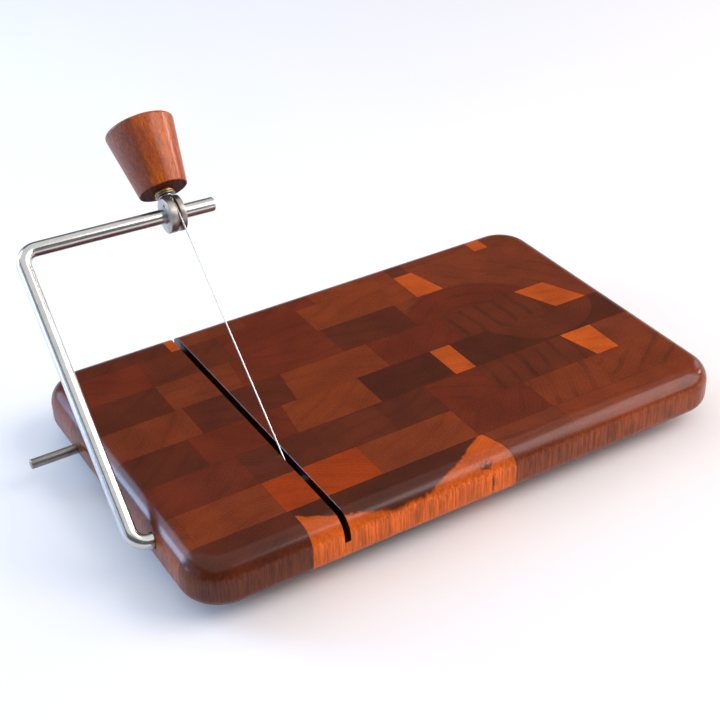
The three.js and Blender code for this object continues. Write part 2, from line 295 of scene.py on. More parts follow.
class Shader:
    """Short names for building one material's nodes."""

    def __init__(self, name):
        self.material = bpy.data.materials.new(name)
        self.material.use_nodes = True
        self.tree = self.material.node_tree
        self.surface = self.tree.nodes["Principled BSDF"]

    def node(self, kind, inputs=(), **settings):
        """Adds a node; inputs are sockets to link or plain values, in socket order."""
        made = self.tree.nodes.new(kind)
        for key, value in settings.items():
            setattr(made, key, value)
        for index, value in enumerate(inputs):
            self.feed(made.inputs[index], value)
        return made

    def feed(self, socket, value):
        if isinstance(value, bpy.types.NodeSocket):
            self.tree.links.new(value, socket)
        elif value is not None:
            socket.default_value = value

    def math(self, operation, *values):
        return self.node("ShaderNodeMath", values, operation=operation).outputs[0]

    def vector(self, operation, *values):
        made = self.node("ShaderNodeVectorMath", (), operation=operation)
        if operation == "SCALE":
            self.feed(made.inputs[0], values[0])
            self.feed(made.inputs["Scale"], values[1])
        else:
            for index, value in enumerate(values):
                self.feed(made.inputs[index], value)
        return made.outputs["Value" if operation == "LENGTH" else "Vector"]

    def noise(self, vector, scale, detail=2.0, roughness=0.5):
        made = self.node("ShaderNodeTexNoise")
        self.feed(made.inputs["Vector"], vector)
        made.inputs["Scale"].default_value = scale
        made.inputs["Detail"].default_value = detail
        made.inputs["Roughness"].default_value = roughness
        return made.outputs["Fac"]

    def step(self, value, low, high, low_out=0.0, high_out=1.0):
        """Smoothly maps low..high to low_out..high_out."""
        made = self.node("ShaderNodeMapRange", interpolation_type="SMOOTHSTEP")
        for index, part in enumerate((value, low, high, low_out, high_out)):
            self.feed(made.inputs[index], part)
        return made.outputs[0]

    def mix(self, factor, first, second, blend="MIX"):
        made = self.node("ShaderNodeMix", data_type="RGBA", blend_type=blend)
        self.feed(made.inputs["Factor"], factor)
        self.feed(made.inputs[6], first)
        self.feed(made.inputs[7], second)
        return made.outputs[2]

    def attribute(self, name, output):
        return self.node("ShaderNodeAttribute", attribute_name=name).outputs[output]

    def place(self):
        return self.node("ShaderNodeTexCoord").outputs["Object"]

    def set(self, **values):
        for key, value in values.items():
            self.feed(self.surface.inputs[key.replace("_", " ")], value)

    def bump(self, height, strength, distance):
        made = self.node("ShaderNodeBump")
        made.inputs["Strength"].default_value = strength
        made.inputs["Distance"].default_value = distance
        self.feed(made.inputs["Height"], height)
        self.feed(self.surface.inputs["Normal"], made.outputs[0])


def opaque(colour):
    return (*colour, 1.0)


def tinted(shader, colour, shade):
    """The colour made darker or lighter by a shade number."""
    grey = shader.node("ShaderNodeCombineXYZ", (shade, shade, shade)).outputs[0]
    return shader.mix(1.0, colour, grey, "MULTIPLY")


def varnish(shader, coat, roughness, specular):
    """Sets the gloss, which is the same all over a material."""
    shader.surface.inputs["Coat Weight"].default_value = coat
    shader.surface.inputs["Coat Roughness"].default_value = roughness
    shader.surface.inputs["Specular IOR Level"].default_value = specular


# The board's wood: tints on the blocks' tones, and places and sizes in millimetres.
WOOD_TINT = (0.80, 0.64, 0.34)
# The sides' tint: long grain's own colour, made brighter by painted light.
SIDE_GRAIN_AND_PAINTED_LIGHT_TINT = (1.6, 1.7, 1.0, 1)
PORE_BROWN = (0.012, 0.004, 0.003, 1)
SCAR_BROWN = (0.014, 0.006, 0.005, 1)
BAND_SPACING = 11.0
RING_SPACING = 2.3
FIBRE_DRAW = (1, 1, 0.05)
KNOT = (3.0, -98.7, 21.8)
KNOT_SIZE = (3.6, 4.0, 2.4)
CRACK = (5.5, -101.6, 11.0)
CRACK_SIZE = (1.1, 3.0, 9.0)


def ring_radius(shader, place, drawn, centre):
    """Distance from the pith, made uneven by a slow warp and a fine ripple."""
    from_pith = shader.vector("MULTIPLY", shader.vector("SUBTRACT", place, centre), (1, 1, 0))
    radius = shader.vector("LENGTH", from_pith)
    warp = shader.math("SUBTRACT", shader.noise(drawn, 0.04, 2.0), 0.5)
    ripple = shader.math("SUBTRACT", shader.noise(drawn, 0.5, 3.0), 0.5)
    radius = shader.math("MULTIPLY_ADD", warp, 6.0, radius)
    return shader.math("MULTIPLY_ADD", ripple, 2.4, radius)


def scarred(shader, place, colour):
    """Adds the knot and the check in the front edge."""
    rough = shader.math("SUBTRACT", shader.noise(place, 0.6, 4.0, 0.7), 0.5)
    for spot, size in ((KNOT, KNOT_SIZE), (CRACK, CRACK_SIZE)):
        apart = shader.vector("DIVIDE", shader.vector("SUBTRACT", place, spot), size)
        apart = shader.math("MULTIPLY_ADD", rough, 3.6, shader.vector("LENGTH", apart))
        colour = shader.mix(shader.step(apart, 1.1, 0.3, 0.0, 0.8), colour, SCAR_BROWN)
    return colour


def board_wood():
    """End grain: rings about each block's pith, drawn out as long grain down the sides."""
    shader = Shader("end_grain_wood")
    centre_x, centre_y, band_radius = shader.node(
        "ShaderNodeSeparateXYZ", (shader.attribute("ring", "Vector"),)).outputs
    centre = shader.node("ShaderNodeCombineXYZ", (centre_x, centre_y, 0.0)).outputs[0]
    heart = shader.attribute("heart", "Color")
    outer = shader.attribute("outer", "Color")
    band_strength = shader.attribute("heart", "Alpha")
    place = shader.vector("SCALE", shader.place(), 1 / MM)
    drawn = shader.vector("MULTIPLY", place, FIBRE_DRAW)
    radius = ring_radius(shader, place, drawn, centre)
    past_band = shader.math("SUBTRACT", radius, band_radius)

    wave = shader.math("COSINE", shader.math("MULTIPLY", past_band, 2 * math.pi / BAND_SPACING))
    bands = shader.math("MULTIPLY", shader.step(wave, 0.35, 1.0),
                        shader.step(shader.noise(place, 0.04, 1.0), 0.35, 0.6, 0.15, 1.0))
    rings = shader.step(
        shader.math("SINE", shader.math("MULTIPLY", radius, 2 * math.pi / RING_SPACING)), -0.4, 1.0)
    streaks = shader.step(shader.noise(drawn, 0.8, 3.0, 0.65), 0.32, 0.68)
    cloud = shader.step(shader.noise(place, 0.045, 3.0), 0.3, 0.7)
    fine = shader.step(shader.noise(drawn, 2.2, 2.0, 0.6), 0.3, 0.7)
    pores = shader.step(shader.noise(drawn, 2.6, 1.0), 0.62, 0.72)

    # The sides are long grain and more streaked than the end grain on top; they are also lighter,
    # partly from long grain's own tone and partly from painted light.
    normal = shader.node("ShaderNodeTexCoord").outputs["Normal"]
    upright = shader.node("ShaderNodeSeparateXYZ", (normal,)).outputs[2]
    on_side = shader.step(shader.math("ABSOLUTE", upright), 0.75, 0.2)
    sap = shader.step(past_band, -0.9, 0.7)
    colour = shader.mix(sap, heart, outer)
    colour = shader.mix(on_side, colour, shader.mix(1.0, colour, SIDE_GRAIN_AND_PAINTED_LIGHT_TINT, "MULTIPLY"))
    streak_depth = shader.math("MULTIPLY_ADD", on_side, -0.34, -0.18)
    fine_depth = shader.math("MULTIPLY_ADD", on_side, -0.2, -0.12)
    shade = shader.math("MULTIPLY_ADD", shader.math("MULTIPLY", bands, band_strength), -0.3, 1.06)
    shade = shader.math("MULTIPLY_ADD", rings, -0.09, shade)
    shade = shader.math("MULTIPLY_ADD", streaks, streak_depth, shade)
    shade = shader.math("MULTIPLY_ADD", fine, fine_depth, shade)
    # Painted light: the sides made lighter, partly long grain's own tone.
    shade = shader.math("MULTIPLY_ADD", on_side, 0.18, shade)
    shade = shader.math("MULTIPLY_ADD", cloud, 0.28, shade)
    colour = tinted(shader, colour, shade)
    colour = shader.mix(shader.math("MULTIPLY", pores, 0.45), colour, PORE_BROWN)
    shader.set(Base_Color=scarred(shader, place, colour))
    shader.set(Roughness=shader.step(streaks, 0.0, 1.0, 0.34, 0.46))
    height = shader.math("MULTIPLY_ADD", pores, -0.8, shader.math("MULTIPLY", streaks, 0.4))
    shader.bump(height, 0.3, 0.1 * MM)
    varnish(shader, 0.45, 0.2, 0.06)
    return shader.material


# The knob's wood, in screen values; the last one is painted shade on the side away from the rod's
# tip.
KNOB_BROWN = (150, 62, 5)
KNOB_ORANGE = (176, 84, 8)
KNOB_PAINTED_SHADE = (124, 60, 32)


def knob_side():
    """Mahogany with its fibres along local Y: painted shade on one side, streaks, flecks and short
    pores.
    """
    shader = Shader("mahogany_side")
    place = shader.vector("SCALE", shader.place(), 1 / MM)
    long_fibre = shader.vector("MULTIPLY", place, (1, 0.07, 1))
    short_fibre = shader.vector("MULTIPLY", place, (1, 0.25, 1))
    pore_fibre = shader.vector("MULTIPLY", place, (1, 0.2, 1))
    across = shader.node("ShaderNodeSeparateXYZ", (place,)).outputs[0]
    shaded_side = shader.math("MULTIPLY_ADD", shader.noise(long_fibre, 0.25, 2.0), 5.0, across)
    bands = shader.step(shader.noise(long_fibre, 0.16, 2.0), 0.35, 0.65)
    streaks = shader.step(shader.noise(long_fibre, 1.2, 3.0, 0.6), 0.3, 0.7)
    figure = shader.step(shader.noise(short_fibre, 0.5, 3.0, 0.65), 0.32, 0.68)
    flecks = shader.noise(short_fibre, 1.1, 2.0, 0.6)
    pores = shader.step(shader.noise(pore_fibre, 3.4, 1.0), 0.57, 0.66)
    colour = shader.mix(bands, opaque(linear(*KNOB_BROWN)), opaque(linear(*KNOB_ORANGE)))
    # Painted shade: a darker colour on the side away from the rod's tip, past a wavy line across
    # local X.
    colour = shader.mix(shader.step(shaded_side, -8.0, -4.5), opaque(linear(*KNOB_PAINTED_SHADE)), colour)
    shade = shader.math("MULTIPLY_ADD", streaks, -0.2, 0.94)
    shade = shader.math("MULTIPLY_ADD", figure, 0.3, shade)
    shade = shader.math("MULTIPLY_ADD", shader.step(flecks, 0.35, 0.65), 0.3, shade)
    colour = tinted(shader, colour, shade)
    colour = shader.mix(shader.math("MULTIPLY", pores, 0.4), colour, (0.02, 0.006, 0.004, 1))
    shader.set(Base_Color=colour)
    shader.set(Roughness=shader.step(figure, 0.0, 1.0, 0.38, 0.5))
    height = shader.math("MULTIPLY_ADD", pores, -0.8, shader.math("MULTIPLY", flecks, 2.5))
    shader.bump(height, 1.0, 0.25 * MM)
    varnish(shader, 0.5, 0.25, 0.1)
    return shader.material


def knob_end():
    """The same mahogany across the grain: faint rings and open pores, dark and nearly matt."""
    shader = Shader("mahogany_end")
    place = shader.vector("SCALE", shader.place(), 1 / MM)
    flat = shader.vector("MULTIPLY", place, (1, 0.05, 1))
    pith = (38.0, 0.0, 16.0)
    ring_spacing = 2.8
    from_pith = shader.vector("LENGTH", shader.vector("SUBTRACT", flat, pith))
    wavy = shader.math("MULTIPLY_ADD", shader.noise(flat, 0.25, 3.0), 3.0, from_pith)
    rings = shader.step(
        shader.math("SINE", shader.math("MULTIPLY", wavy, 2 * math.pi / ring_spacing)), -0.6, 1.0)
    speck = shader.noise(flat, 2.6, 2.0, 0.6)
    pores = shader.step(speck, 0.56, 0.66)
    colour = shader.mix(rings, opaque(linear(94, 40, 29)), opaque(linear(72, 29, 22)))
    colour = shader.mix(shader.math("MULTIPLY", pores, 0.6), colour, PORE_BROWN)
    shader.set(Base_Color=colour)
    shader.set(Roughness=shader.step(speck, 0.3, 0.7, 0.6, 0.8))
    shader.bump(speck, 0.5, 0.12 * MM)
    varnish(shader, 0.0, 0.3, 0.12)
    return shader.material


# How close together a metal's fine lines are along X, Y and Z, per metre.
TURNED_ABOUT_X = (2500, 60, 60)
TURNED_ABOUT_Y = (60, 2500, 60)
DRAWN_ALONG_X = (12, 1800, 1800)
EVEN = (900, 900, 900)


def metal(name, colour, roughness, lay, grain=0.35, scratches=0.5, tint=None):
    """Drawn or turned metal: fine lines in the lay given, faint stains and uneven polish."""
    shader = Shader(name)
    lines = shader.noise(shader.vector("MULTIPLY", shader.place(), lay), 1.0, 3.0, 0.6)
    stain = shader.noise(shader.place(), 130.0, 3.0)
    bright = opaque(colour)
    dull = opaque([0.8 * c for c in colour] if tint is None else tint)
    shader.set(Base_Color=shader.mix(shader.step(stain, 0.35, 0.75, 0.0, 0.6), bright, dull))
    shader.set(Roughness=shader.step(lines, 0.25, 0.75, roughness * (1 - grain),
                                     roughness * (1 + grain)))
    shader.surface.inputs["Metallic"].default_value = 1.0
    shader.bump(lines, scratches * 0.2, 0.02 * MM)
    return shader.material


def rubber():
    shader = Shader("foot_rubber")
    speck = shader.noise(shader.place(), 2600.0, 3.0, 0.7)
    cloud = shader.noise(shader.place(), 220.0, 2.0)
    shader.set(Base_Color=shader.mix(cloud, (0.012, 0.012, 0.013, 1), (0.035, 0.034, 0.034, 1)))
    shader.set(Roughness=shader.step(speck, 0.3, 0.7, 0.62, 0.85))
    shader.bump(speck, 0.4, 0.05 * MM)
    return shader.material


# ---------- shared finish ----------
def dress(obj, material, body, node, degrees=32):
    """Smooths a piece, gives it its material, and lets it stand for its CAD node."""
    set_smooth(obj, degrees)
    obj.data.materials.clear()
    obj.data.materials.append(material)
    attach(obj, body)
    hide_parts(node)


# ---------- board ----------
# Tones of the blocks, in screen values.
TONES = {
    "deep": (80, 36, 20),
    "dark": (90, 41, 28),
    "umber": (98, 45, 29),
    "red": (106, 44, 26),
    "brown": (116, 55, 35),
    "mid": (124, 58, 31),
    "amber": (154, 62, 10),
    "orange": (184, 88, 33),
    "bright": (198, 96, 35),
}

# Each stave's blocks from left to right, in millimetres: where the block starts at the stave's
# front and back edge and its tone. Some blocks also have the place of the pith with the radius of
# a dark band, how strong the bands are, and the tone of the wood beyond that radius.
BLOCKS = {
    1: [(-170, -170, "dark"), (-101, -101, "deep", (-48, -10, 90.6), 0.3, "bright"),
        (20, 13.5, "brown", (40, 140, 229), 0.5), (61, 61, "mid", (100, 150, 241), 0.6)],
    2: [(-170, -170, "mid"), (-151, -151, "mid"), (-103, -103, "amber"), (-47, -47, "mid"),
        (12, 12, "red"), (60, 60, "mid", (-148, 25, 270), 0.8),
        (106, 104, "mid", (19, 96, 201), 0.8)],
    3: [(-170, -170, "red"), (-103, -103, "dark"), (-62, -60, "umber"), (-20, -20, "dark"),
        (12, 12, "red"), (47, 47, "umber", (-110, -20, 184), 1.0), (112, 106, "bright"),
        (127, 127.5, "brown")],
    4: [(-170, -170, "dark"), (-118, -118, "red"), (-66, -62, "mid"), (-14, -14, "deep"),
        (34, 34, "orange"), (47.5, 47.5, "umber", (111, 14, 39), 0.5, "deep")],
    5: [(-170, -170, "brown"), (-108, -108, "dark"), (-52, -48, "mid"), (8, 8, "red"),
        (58, 58, "umber", (-120, 5, 194), 1.0), (124, 113, "orange"), (146, 134, "brown")],
    6: [(-170, -170, "dark"), (-112, -112, "brown"), (-70, -66, "red"), (-6, -6, "dark"),
        (44, 44, "red", (77, 4, 50), 0.8, "brown")],
    7: [(-170, -170, "red"), (-112, -110, "umber"), (-62, -62, "red"), (-8, -8, "mid"),
        (61, 61, "orange"), (80, 74, "brown", (240, 200, 190), 0.4)],
    8: [(-170, -170, "dark"), (-89, -89, "orange"), (-83.2, -83.2, "brown"), (-40, -40, "red"),
        (6, 6, "mid"), (61, 61, "umber"), (72, 72, "brown"), (122, 122, "orange"),
        (132, 132, "brown")],
}
PLAIN_BANDS = 0.45
GLUE_SHADE = 0.45
# The slot's darkening: partly the rough saw cut's own tone, partly painted shade for the deep
# narrow slot.
SLOT_KERF_AND_PAINTED_SHADE = 0.12
Block = namedtuple("Block", "corner across heart outer ring strength")


def rounded_rectangle(inset, steps=20):
    """The board's outline in plan, moved in by inset."""
    radius = max(CORNER_RADIUS - inset, 0.5 * MM)
    half_x = (BOARD_HIGH.x - BOARD_LOW.x) / 2 - inset - radius
    half_y = (BOARD_HIGH.y - BOARD_LOW.y) / 2 - inset - radius
    points = []
    for corner, (side_x, side_y) in enumerate([(1, 1), (-1, 1), (-1, -1), (1, -1)]):
        for step in range(steps + 1):
            angle = math.pi / 2 * (corner + step / steps)
            points.append((side_x * half_x + radius * math.cos(angle),
                           side_y * half_y + radius * math.sin(angle)))
    return points


def board_section():
    """(inset, height) round the board's edge, from the flat underside to the flat top."""
    thickness = BOARD_HIGH.z - BOARD_LOW.z
    steps_below, steps_above = 8, 14
    flat = 0.8 * MM
    section = [(BOTTOM_ROUND + flat, 0)]
    for step in range(steps_below + 1):
        angle = math.pi / 2 * step / steps_below
        section.append((BOTTOM_ROUND * (1 - math.sin(angle)), BOTTOM_ROUND * (1 - math.cos(angle))))
    for step in range(steps_above + 1):
        angle = math.pi / 2 * step / steps_above
        section.append((TOP_ROUND * (1 - math.cos(angle)),
                        thickness - TOP_ROUND * (1 - math.sin(angle))))
    section.append((TOP_ROUND + flat, thickness))
    return section


def board_blank():
    """The whole board in one piece, with its rounded edges and no cuts."""
    rings = [[(x, y, BOARD_LOW.z + height) for x, y in rounded_rectangle(inset)]
             for inset, height in board_section()]
    count = len(rings[0])
    vertices = [point for ring in rings for point in ring]
    faces = [[i * count + k, i * count + (k + 1) % count,
              (i + 1) * count + (k + 1) % count, (i + 1) * count + k]
             for i in range(len(rings) - 1) for k in range(count)]
    faces.append(list(range(count)))
    faces.append([(len(rings) - 1) * count + k for k in range(count)])
    return make_object("board_blank", vertices, faces)


def slot_cutter():
    """The saw slot, with its top edges broken."""
    top = BOARD_HIGH.z
    reach = BOARD_HIGH.y * 1.2
    section = [(-SLOT_HALF, SLOT_FLOOR), (SLOT_HALF, SLOT_FLOOR), (SLOT_HALF, top - SLOT_EASE),
               (SLOT_HALF + 3 * SLOT_EASE, top + 2 * SLOT_EASE),
               (-SLOT_HALF - 3 * SLOT_EASE, top + 2 * SLOT_EASE), (-SLOT_HALF, top - SLOT_EASE)]
    count = len(section)
    vertices = [(SLOT_X + x, y, z) for y in (-reach, reach) for x, z in section]
    faces = [[i, (i + 1) % count, count + (i + 1) % count, count + i] for i in range(count)]
    faces.append(list(range(count)))
    faces.append([count + i for i in range(count)])
    return make_object("slot_cutter", vertices, faces)


def cut_board():
    """The blank with its slot, bore, pin hole, hub relief and screw pilots cut."""
    blank = board_blank()
    outside = BOARD_LOW.x - 5 * MM
    below = -5 * MM
    above = 40 * MM
    pin_low, pin_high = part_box("stop_pin")
    pin = (pin_low + pin_high) / 2
    pin_radius = (pin_high.z - pin_low.z) / 2
    relief_y = BOARD_HIGH.y + HUB_RELIEF_RADIUS - HUB_RELIEF_DEPTH
    cutters = [
        slot_cutter(),
        bar("bore", Vector((outside, PIVOT.y, PIVOT.z)),
            Vector((BORE_END_X, PIVOT.y, PIVOT.z)), BORE_RADIUS),
        bar("pin_hole", Vector((outside, pin.y, pin.z)),
            Vector((pin_high.x + 0.5 * MM, pin.y, pin.z)), pin_radius + 0.12 * MM),
        bar("relief", Vector((HUB_MIDDLE.x, relief_y, below)),
            Vector((HUB_MIDDLE.x, relief_y, above)), HUB_RELIEF_RADIUS, 96),
    ]
    for index in range(1, FOOT_COUNT + 1):
        low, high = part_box(f"foot_screw_{index}")
        spot = (low + high) / 2
        cutters.append(bar("pilot", Vector((spot.x, spot.y, below)),
                           Vector((spot.x, spot.y, high.z + 0.4 * MM)), PILOT_RADIUS, 24))
    for cutter in cutters:
        combine(blank, cutter, "DIFFERENCE")
    return blank


def slice_mesh(mesh, point, normal):
    geometry = mesh.verts[:] + mesh.edges[:] + mesh.faces[:]
    bmesh.ops.bisect_plane(mesh, geom=geometry, plane_co=point, plane_no=normal, dist=1e-8)


def block_colour(tone, gain):
    return [c * tint * gain for c, tint in zip(linear(*TONES[tone]), WOOD_TINT)]


def lay_out_blocks(index, low, depth, dice):
    """One stave's blocks: the joint on each one's left, its two colours and its rings."""
    blocks = []
    for start_front, start_back, tone, *figure in BLOCKS[index]:
        slope = Vector(((start_back - start_front) * MM, depth, 0)).normalized()
        across = Vector((slope.y, -slope.x, 0))
        corner = Vector((start_front * MM, low.y, 0))
        far_pith = (start_front + dice.uniform(-80, 80),
                    low.y / MM + dice.choice([-1, 1]) * dice.uniform(60, 160),
                    dice.uniform(300, 330))
        ring, strength, outer = (*figure, tone)[:3] if figure else (far_pith, PLAIN_BANDS, tone)
        gain = dice.uniform(0.96, 1.04)
        blocks.append(Block(corner, across, block_colour(tone, gain), block_colour(outer, gain),
                            ring, strength))
    return blocks


def cut_joints(stave, blocks, front, back):
    """Cuts the faces along both sides of every glue line."""
    mesh = bmesh.new()
    mesh.from_mesh(stave.data)
    for block in blocks:
        for side in (-1, 1):
            slice_mesh(mesh, block.corner + block.across * side * GLUE_LINE / 2, block.across)
    for y in (front + GLUE_LINE / 2, back - GLUE_LINE / 2):
        slice_mesh(mesh, Vector((0, y, 0)), Vector((0, 1, 0)))
    mesh.to_mesh(stave.data)
    mesh.free()


def colour_faces(stave, blocks, front, back):
    """Gives each face its block's wood, darker on the glue lines, and much darker in the slot:
    partly the saw cut's own tone, partly painted shade.
    """
    attributes = stave.data.attributes
    attributes.new("heart", "FLOAT_COLOR", "FACE")
    attributes.new("outer", "FLOAT_COLOR", "FACE")
    attributes.new("ring", "FLOAT_VECTOR", "FACE")
    heart_layer, outer_layer, ring_layer = [attributes[name].data
                                            for name in ("heart", "outer", "ring")]
    for face in stave.data.polygons:
        spot = face.center
        past = [(spot - block.corner).dot(block.across) for block in blocks]
        passed = [block for block, distance in zip(blocks, past) if distance > 0]
        block = passed[-1] if passed else blocks[0]
        on_joint = min(abs(distance) for distance in past) < GLUE_LINE / 2
        on_seam = min(spot.y - front, back - spot.y) < GLUE_LINE / 2
        in_slot = abs(spot.x - SLOT_X) < SLOT_HALF + TOUCH and spot.z > SLOT_FLOOR - TOUCH
        shade = 1.0
        # Painted shade in the slot, on top of the saw cut's own darker tone.
        if in_slot:
            shade = SLOT_KERF_AND_PAINTED_SHADE
        elif on_joint or on_seam:
            shade = GLUE_SHADE
        heart_layer[face.index].color = (*[c * shade for c in block.heart], block.strength)
        outer_layer[face.index].color = opaque([c * shade for c in block.outer])
        ring_layer[face.index].vector = block.ring


def make_stave(blank, index, material, dice):
    """One stave: a strip of the board, marked off into its glued blocks."""
    low, high = STAVE_BOXES[index - 1]
    stave = blank.copy()
    stave.data = blank.data.copy()
    stave.name = f"stave_{index}"
    bpy.context.scene.collection.objects.link(stave)
    reach = 1.0
    front = low.y if index > 1 else -reach
    back = high.y if index < len(STAVES) else reach
    combine(stave, box("strip", (-reach, front, -reach), (reach, back, reach)), "INTERSECT")
    blocks = lay_out_blocks(index, low, high.y - low.y, dice)
    cut_joints(stave, blocks, front, back)
    colour_faces(stave, blocks, front, back)
    node = STAVES[index - 1]
    dress(stave, material, "board", node)


def make_board():
    material = board_wood()
    dice = random.Random(11)
    blank = cut_board()
    for index in range(1, len(STAVES) + 1):
        make_stave(blank, index, material, dice)
    bpy.data.objects.remove(blank)


# ---------- board fittings ----------
def make_stop_pin(steel):
    low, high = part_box("stop_pin")
    axis = (low + high) / 2
    points = [Vector((low.x, axis.y, axis.z)), Vector((high.x, axis.y, axis.z))]
    pin = sweep("pin", points, (high.z - low.z) / 2, 48, ease=0.7 * MM)
    dress(pin, steel, "board", "stop_pin")


def upright_space(x, y):
    """Turns a piece that is turned about local Y so that its Y points up."""
    return Matrix.Translation((x, y, 0)) @ Matrix.Rotation(math.pi / 2, 4, "X")


def make_feet(material, zinc):
    screw_hole, tread = 2.1 * MM, 7.0 * MM
    recess, recess_depth = 4.2 * MM, 5 * MM
    for index in range(1, FOOT_COUNT + 1):
        low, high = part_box(f"rubber_foot_{index}")
        spot = (low + high) / 2
        base, top = low.z, high.z
        outer = (high.x - low.x) / 2
        ledge = base + recess_depth
        section = filleted([(recess, base), (tread, base, 0.9 * MM), (outer, top, 0.5 * MM),
                            (screw_hole, top), (screw_hole, ledge), (recess, ledge)],
                           0.3 * MM, closed=True)
        foot = lathe(f"foot_{index}", section, 64, upright_space(spot.x, spot.y), closed=True)
        dress(foot, material, "board", f"rubber_foot_{index}")
        make_foot_screw(index, zinc)


def make_foot_screw(index, zinc):
    """A round-headed wood screw with a cross recess, its head down inside the foot."""
    low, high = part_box(f"foot_screw_{index}")
    spot = (low + high) / 2
    head, head_height, neck = 3.6 * MM, 2.4 * MM, 1.6 * MM
    root, crest, tip = 1.25 * MM, 1.7 * MM, 1.2 * MM
    turns, turn_height = 9, 1.1 * MM
    head_top = low.z + head_height
    thread_start = head_top + 1.2 * MM
    shank_top = high.z - 3 * MM
    section = filleted([(0, low.z), (head * 0.7, low.z, 0.8 * MM),
                        (head, low.z + 1.4 * MM, 0.5 * MM), (head, head_top, 0.2 * MM),
                        (neck, head_top, 0.2 * MM)], 0.2 * MM)
    for turn in range(turns):
        base = thread_start + (shank_top - thread_start) * turn / turns
        section += [Vector((root, base)), Vector((crest, base + turn_height / 2)),
                    Vector((root, base + turn_height))]
    section += [Vector((tip, shank_top)), Vector((0, high.z))]
    screw = lathe(f"screw_{index}", section, 40, upright_space(spot.x, spot.y))

    blade_half, blade_reach, blade_depth = 0.5 * MM, 2.3 * MM, 1.2 * MM
    for angle in (0, math.pi / 2):
        blade = box("driver_slot", (-blade_reach, -blade_half, low.z - MM),
                    (blade_reach, blade_half, low.z + blade_depth),
                    Matrix.Translation((spot.x, spot.y, 0)) @ Matrix.Rotation(angle, 4, "Z"))
        combine(screw, blade, "DIFFERENCE")
    dress(screw, zinc, "board", f"foot_screw_{index}", 25)


# ---------- bow ----------
def bend(before, corner, after, steps=18):
    """Points round the bend of the rod at a corner."""
    incoming = (corner - before).normalized()
    outgoing = (after - corner).normalized()
    turn = incoming.angle(outgoing)
    axis = incoming.cross(outgoing).normalized()
    start = corner - incoming * BEND_RADIUS * math.tan(turn / 2)
    centre = start + axis.cross(incoming) * BEND_RADIUS
    return [centre + Matrix.Rotation(turn * step / steps, 3, axis) @ (start - centre)
            for step in range(steps + 1)]


def along_wire(distance):
    """A point on the wire's line, from the lower arm's axis towards the hub."""
    return Vector((WIRE_X, distance * math.cos(WIRE_RISE), distance * math.sin(WIRE_RISE)))


def make_bow_rod(steel):
    points = [LOWER_TIP, *bend(LOWER_TIP, LOWER_CORNER, UPPER_CORNER),
              *bend(LOWER_CORNER, UPPER_CORNER, UPPER_TIP), UPPER_TIP]
    rod = sweep("bow", points, ROD_RADIUS, 64, BOW_SPACE, ease=0.9 * MM)
    reach = 10 * MM
    hole = bar("wire_hole", along_wire(-reach), along_wire(reach), WIRE_HOLE_RADIUS, 24, BOW_SPACE)
    combine(rod, hole, "DIFFERENCE")
    seat = bar("bead_seat", along_wire(-reach), along_wire(-BEAD_SEAT_DEPTH), BEAD_SEAT_RADIUS, 32,
               BOW_SPACE)
    combine(rod, seat, "DIFFERENCE")
    dress(rod, steel, "bow", "bow_rod")


def make_wire(steel, brass):
    wire = sweep("wire", [along_wire(-BEAD_SEAT_DEPTH), along_wire(WIRE_LENGTH)], WIRE_RADIUS, 16,
                 BOW_SPACE)
    dress(wire, steel, "bow", "cutting_wire")
    end = -BEAD_SEAT_DEPTH - RUNNING_GAP
    start = end - BEAD_LENGTH
    section = filleted([(0, start), (BEAD_RADIUS, start), (BEAD_RADIUS, end), (0, end)], 0.4 * MM)
    bead = lathe("bead", section, 32)
    turn = (along_wire(1) - along_wire(0)).to_track_quat("Y", "Z").to_matrix().to_4x4()
    bead.data.transform(Matrix.Translation((WIRE_X, 0, 0)) @ turn)
    bead.matrix_world = BOW_SPACE
    dress(bead, brass, "bow", "wire_bead")


def make_wire_eye(steel):
    """The open loop round the stud, which then drops into the groove and runs to the wire."""
    eye_radius = STUD_RADIUS + RUNNING_GAP + WIRE_RADIUS
    eye_height = HUB_RADIUS + RUNNING_GAP + WIRE_RADIUS
    lean = Matrix.Rotation(CLAMP_LEAN, 3, "X")
    loop, loop_steps = math.radians(320), 40
    points = []
    for step in range(loop_steps + 1):
        angle = loop * (1 - step / loop_steps)
        points.append(lean @ Vector((eye_radius * math.cos(angle), eye_height,
                                     -eye_radius * math.sin(angle))))
    tail = math.pi / 2 + WIRE_RISE - CLAMP_LEAN
    tail_steps = 44
    for step in range(1, tail_steps + 1):
        turned = tail * step / tail_steps
        angle = CLAMP_LEAN + turned
        sideways = smooth_step((turned - 0.12) / 0.5)
        inward = smooth_step((turned - 0.5) / 0.55)
        radius = eye_height + (WRAP_RADIUS - eye_height) * inward + RUNNING_GAP * (1 - inward)
        points.append(Vector((eye_radius + (GROOVE_X - eye_radius) * sideways,
                              radius * math.cos(angle), radius * math.sin(angle))))
    eye = sweep("eye", points, WIRE_RADIUS, 16, HUB_SPACE, ease=0.15 * MM)
    dress(eye, steel, "bow", "wire_eye", 50)


